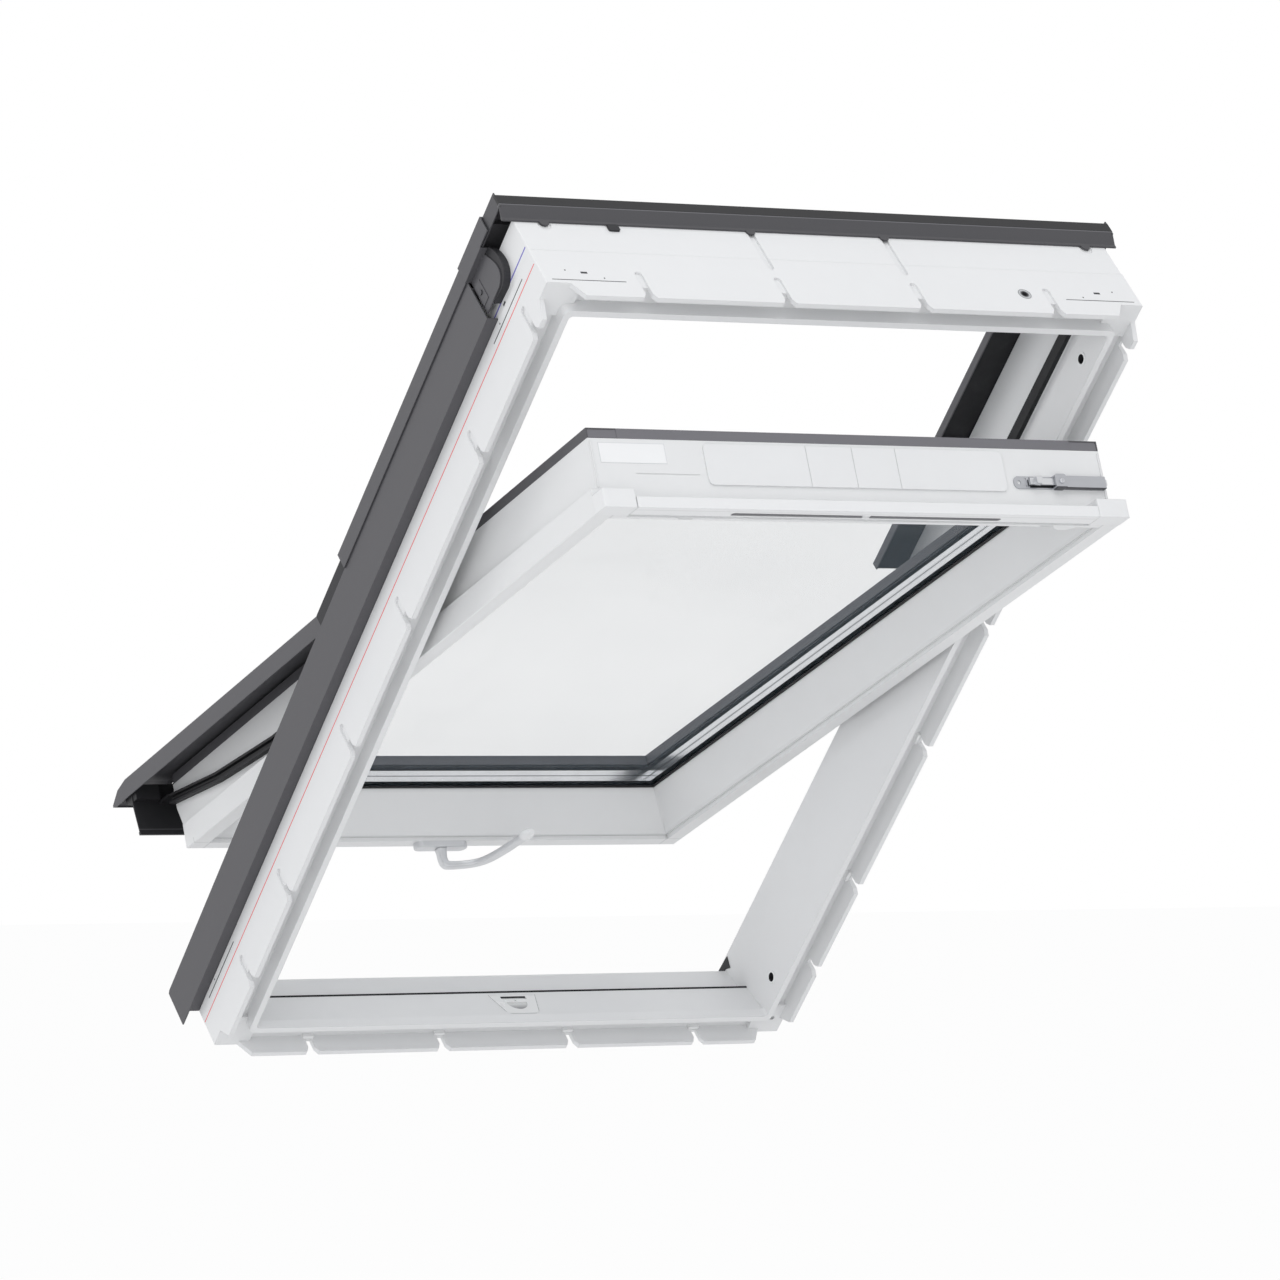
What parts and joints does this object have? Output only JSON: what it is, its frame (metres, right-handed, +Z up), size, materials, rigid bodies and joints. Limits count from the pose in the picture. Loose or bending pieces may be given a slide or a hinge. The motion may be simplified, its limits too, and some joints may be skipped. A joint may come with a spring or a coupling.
{
  "type": "centre-pivot roof window",
  "caption": "Centre-pivot roof window: white moulded frame and opening sash with double glazing, dark outside claddings, handle, bolt and vent flap, at its roof's pitch.",
  "frame": {"origin": "middle of the sill's outer face at the red installation line", "axes": "+X is the window's left as seen from the room, +Y level into the slope, +Z up; the window plane rises at 46.7 degrees"},
  "size_m": [0.814, 1.149, 0.9743],
  "materials": {
    "frame_body": "satin moulded polyurethane",
    "frame_side_cladding_left": "matt coated",
    "frame_side_cladding_right": "matt coated",
    "head_cladding": "matt coated",
    "top_corner_left": "matt coated",
    "top_corner_right": "matt coated",
    "corner_seal_left": "moulded",
    "corner_seal_right": "moulded",
    "upper_cover_left": "matt coated",
    "upper_cover_right": "matt coated",
    "cover_gasket_left": "matt extruded",
    "cover_gasket_right": "matt extruded",
    "cover_gasket_head": "matt extruded",
    "sill_cladding": "matt coated",
    "frame_gasket_left": "matt extruded",
    "frame_gasket_right": "matt extruded",
    "frame_gasket_head": "matt extruded",
    "sill_gasket": "matt extruded",
    "striker_plate": "moulded",
    "bolt_bush_upper": "moulded",
    "bolt_bush_lower": "moulded",
    "cable_grommet": "moulded",
    "lining_clips": "moulded",
    "hinge_frame_left": "zinc plated",
    "hinge_frame_right": "zinc plated",
    "hinge_cover_left": "matt",
    "hinge_cover_right": "matt",
    "cladding_screws": "zinc plated",
    "head_clip": "moulded",
    "sill_end_plate_left": "matt",
    "sill_end_plate_right": "matt",
    "sash_body": "satin moulded polyurethane",
    "inner_pane": "clear float",
    "outer_pane": "clear float",
    "glazing_spacer": "mill",
    "glazing_edge_seal": "matt",
    "inner_glazing_gasket": "matt extruded",
    "outer_glazing_gasket": "matt extruded",
    "sash_cladding_left": "matt coated",
    "sash_cladding_right": "matt coated",
    "sash_cladding_top": "matt coated",
    "sash_cladding_bottom": "matt coated",
    "sash_lower_cover_left": "matt coated",
    "sash_lower_cover_right": "matt coated",
    "bottom_skirt": "matt",
    "side_gasket_left": "matt extruded",
    "side_gasket_right": "matt extruded",
    "hinge_sash_left": "zinc plated",
    "hinge_sash_right": "zinc plated",
    "vent_end_left": "satin",
    "vent_end_right": "satin",
    "vent_panel": "satin",
    "blank_label": "bare foil",
    "bolt_guide": "zinc plated",
    "handle_base": "silver coated",
    "handle_lever": "silver coated",
    "handle_grip": "moulded",
    "vent_flap": "satin",
    "grip_insert": "moulded",
    "slide_bolt": "zinc plated"
  },
  "bodies": {
    "frame": {"frame_body": "frame_body", "frame_side_cladding_left": "frame_side_cladding_left", "frame_side_cladding_right": "frame_side_cladding_right", "head_cladding": "head_cladding", "top_corner_left": "top_corner_left", "top_corner_right": "top_corner_right", "corner_seal_left": "corner_seal_left", "corner_seal_right": "corner_seal_right", "upper_cover_left": "upper_cover_left", "upper_cover_right": "upper_cover_right", "cover_gasket_left": "cover_gasket_left", "cover_gasket_right": "cover_gasket_right", "cover_gasket_head": "cover_gasket_head", "sill_cladding": "sill_cladding", "frame_gasket_left": "frame_gasket_left", "frame_gasket_right": "frame_gasket_right", "frame_gasket_head": "frame_gasket_head", "sill_gasket": "sill_gasket", "striker_plate": "striker_plate", "bolt_bush_upper": "bolt_bush_upper", "bolt_bush_lower": "bolt_bush_lower", "cable_grommet": "cable_grommet", "lining_clips": "lining_clips", "hinge_frame_left": "hinge_frame_left", "hinge_frame_right": "hinge_frame_right", "hinge_cover_left": "hinge_cover_left", "hinge_cover_right": "hinge_cover_right", "cladding_screws": "cladding_screws", "head_clip": "head_clip", "sill_end_plate_left": "sill_end_plate_left", "sill_end_plate_right": "sill_end_plate_right"},
    "sash": {"sash_body": "sash_body", "inner_pane": "inner_pane", "outer_pane": "outer_pane", "glazing_spacer": "glazing_spacer", "glazing_edge_seal": "glazing_edge_seal", "inner_glazing_gasket": "inner_glazing_gasket", "outer_glazing_gasket": "outer_glazing_gasket", "sash_cladding_left": "sash_cladding_left", "sash_cladding_right": "sash_cladding_right", "sash_cladding_top": "sash_cladding_top", "sash_cladding_bottom": "sash_cladding_bottom", "sash_lower_cover_left": "sash_lower_cover_left", "sash_lower_cover_right": "sash_lower_cover_right", "bottom_skirt": "bottom_skirt", "side_gasket_left": "side_gasket_left", "side_gasket_right": "side_gasket_right", "hinge_sash_left": "hinge_sash_left", "hinge_sash_right": "hinge_sash_right", "vent_end_left": "vent_end_left", "vent_end_right": "vent_end_right", "vent_panel": "vent_panel", "blank_label": "blank_label", "bolt_guide": "bolt_guide", "handle_base": "handle_base"},
    "handle": {"handle_lever": "handle_lever", "handle_grip": "handle_grip"},
    "vent_flap": {"vent_flap": "vent_flap", "grip_insert": "grip_insert"},
    "bolt": {"slide_bolt": "slide_bolt"}
  },
  "joints": [
    {"name": "sash_pivot", "type": "hinge", "parent": "frame", "child": "sash", "pos_m": [0, 0.34308, 0.50113], "axis": [-1, 0, 0], "range_deg": [-26.2, 123.8]},
    {"name": "handle_turn", "type": "hinge", "parent": "sash", "child": "handle", "pos_m": [0, -0.1314, 0.20255], "axis": [0, -0.3502, 0.9367], "range_deg": [-90, 0]},
    {"name": "vent_flap_tilt", "type": "hinge", "parent": "sash", "child": "vent_flap", "pos_m": [0, 0.85751, 0.58778], "axis": [-1, 0, 0], "range_deg": [0, 22]},
    {"name": "bolt_slide", "type": "slide", "parent": "sash", "child": "bolt", "axis": [-1, 0, 0], "range_m": [0, 0.016]}
  ]
}
